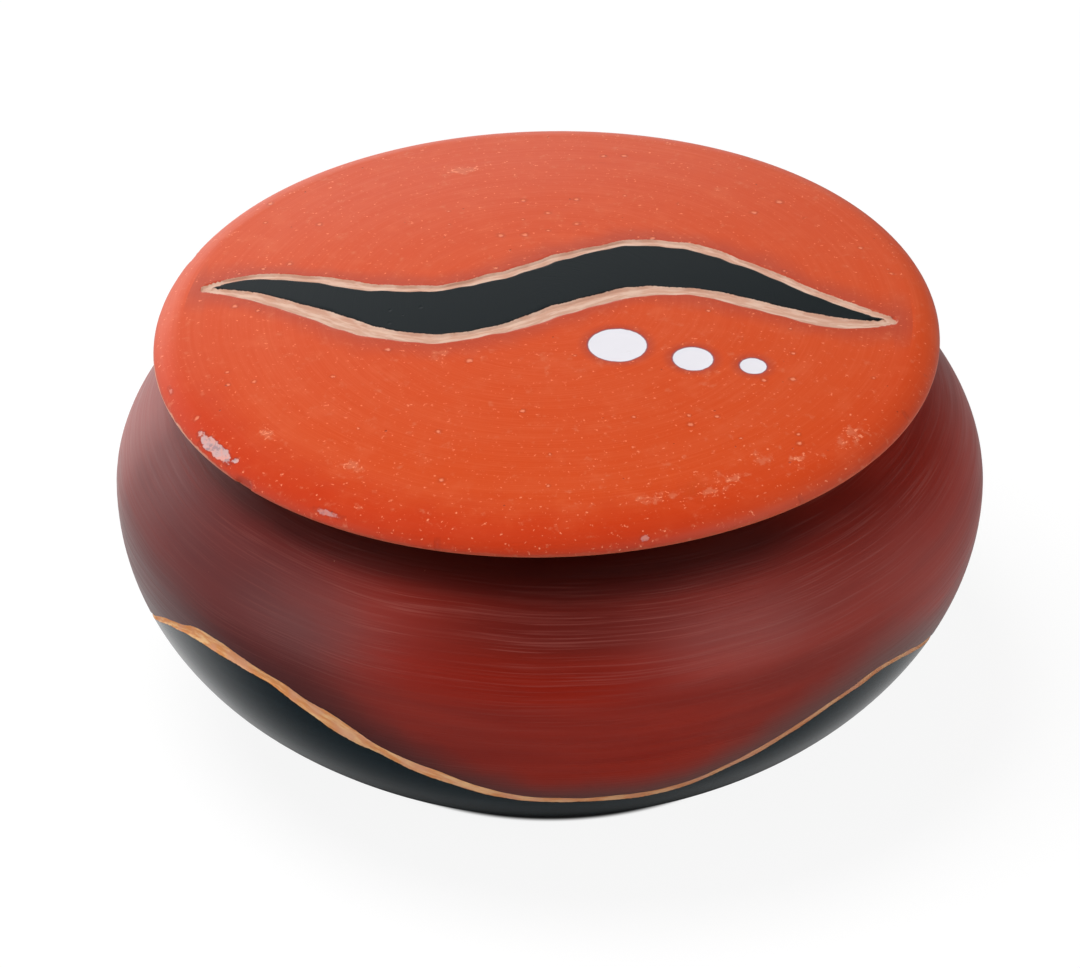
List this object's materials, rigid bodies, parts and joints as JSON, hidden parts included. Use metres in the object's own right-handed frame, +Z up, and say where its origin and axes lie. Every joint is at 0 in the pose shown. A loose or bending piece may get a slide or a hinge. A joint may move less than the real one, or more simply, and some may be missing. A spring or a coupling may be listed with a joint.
{
  "type": "lidded pot",
  "caption": "Round-bellied fired clay pot with a wide, low-domed lid that rests on the rim and is kept in place by a ring under it.",
  "frame": {"origin": "centre of the flat ring that the pot stands on, level with the surface under it", "axes": "+Z up along the pot's axis, through the lid; -Y is the side that the picture shows"},
  "size_m": [0.12, 0.12, 0.0613],
  "materials": {
    "red_slip": "burnished deep red slip over dark slip, satin",
    "orange_slip": "burnished orange slip, satin"
  },
  "bodies": {
    "pot": {"pot_body": "red_slip"},
    "lid": {"lid": "orange_slip"}
  },
  "joints": [
    {"name": "lid_lift", "type": "slide", "parent": "pot", "child": "lid", "axis": [0, 0, 1], "range_m": [0, 0.07]}
  ]
}
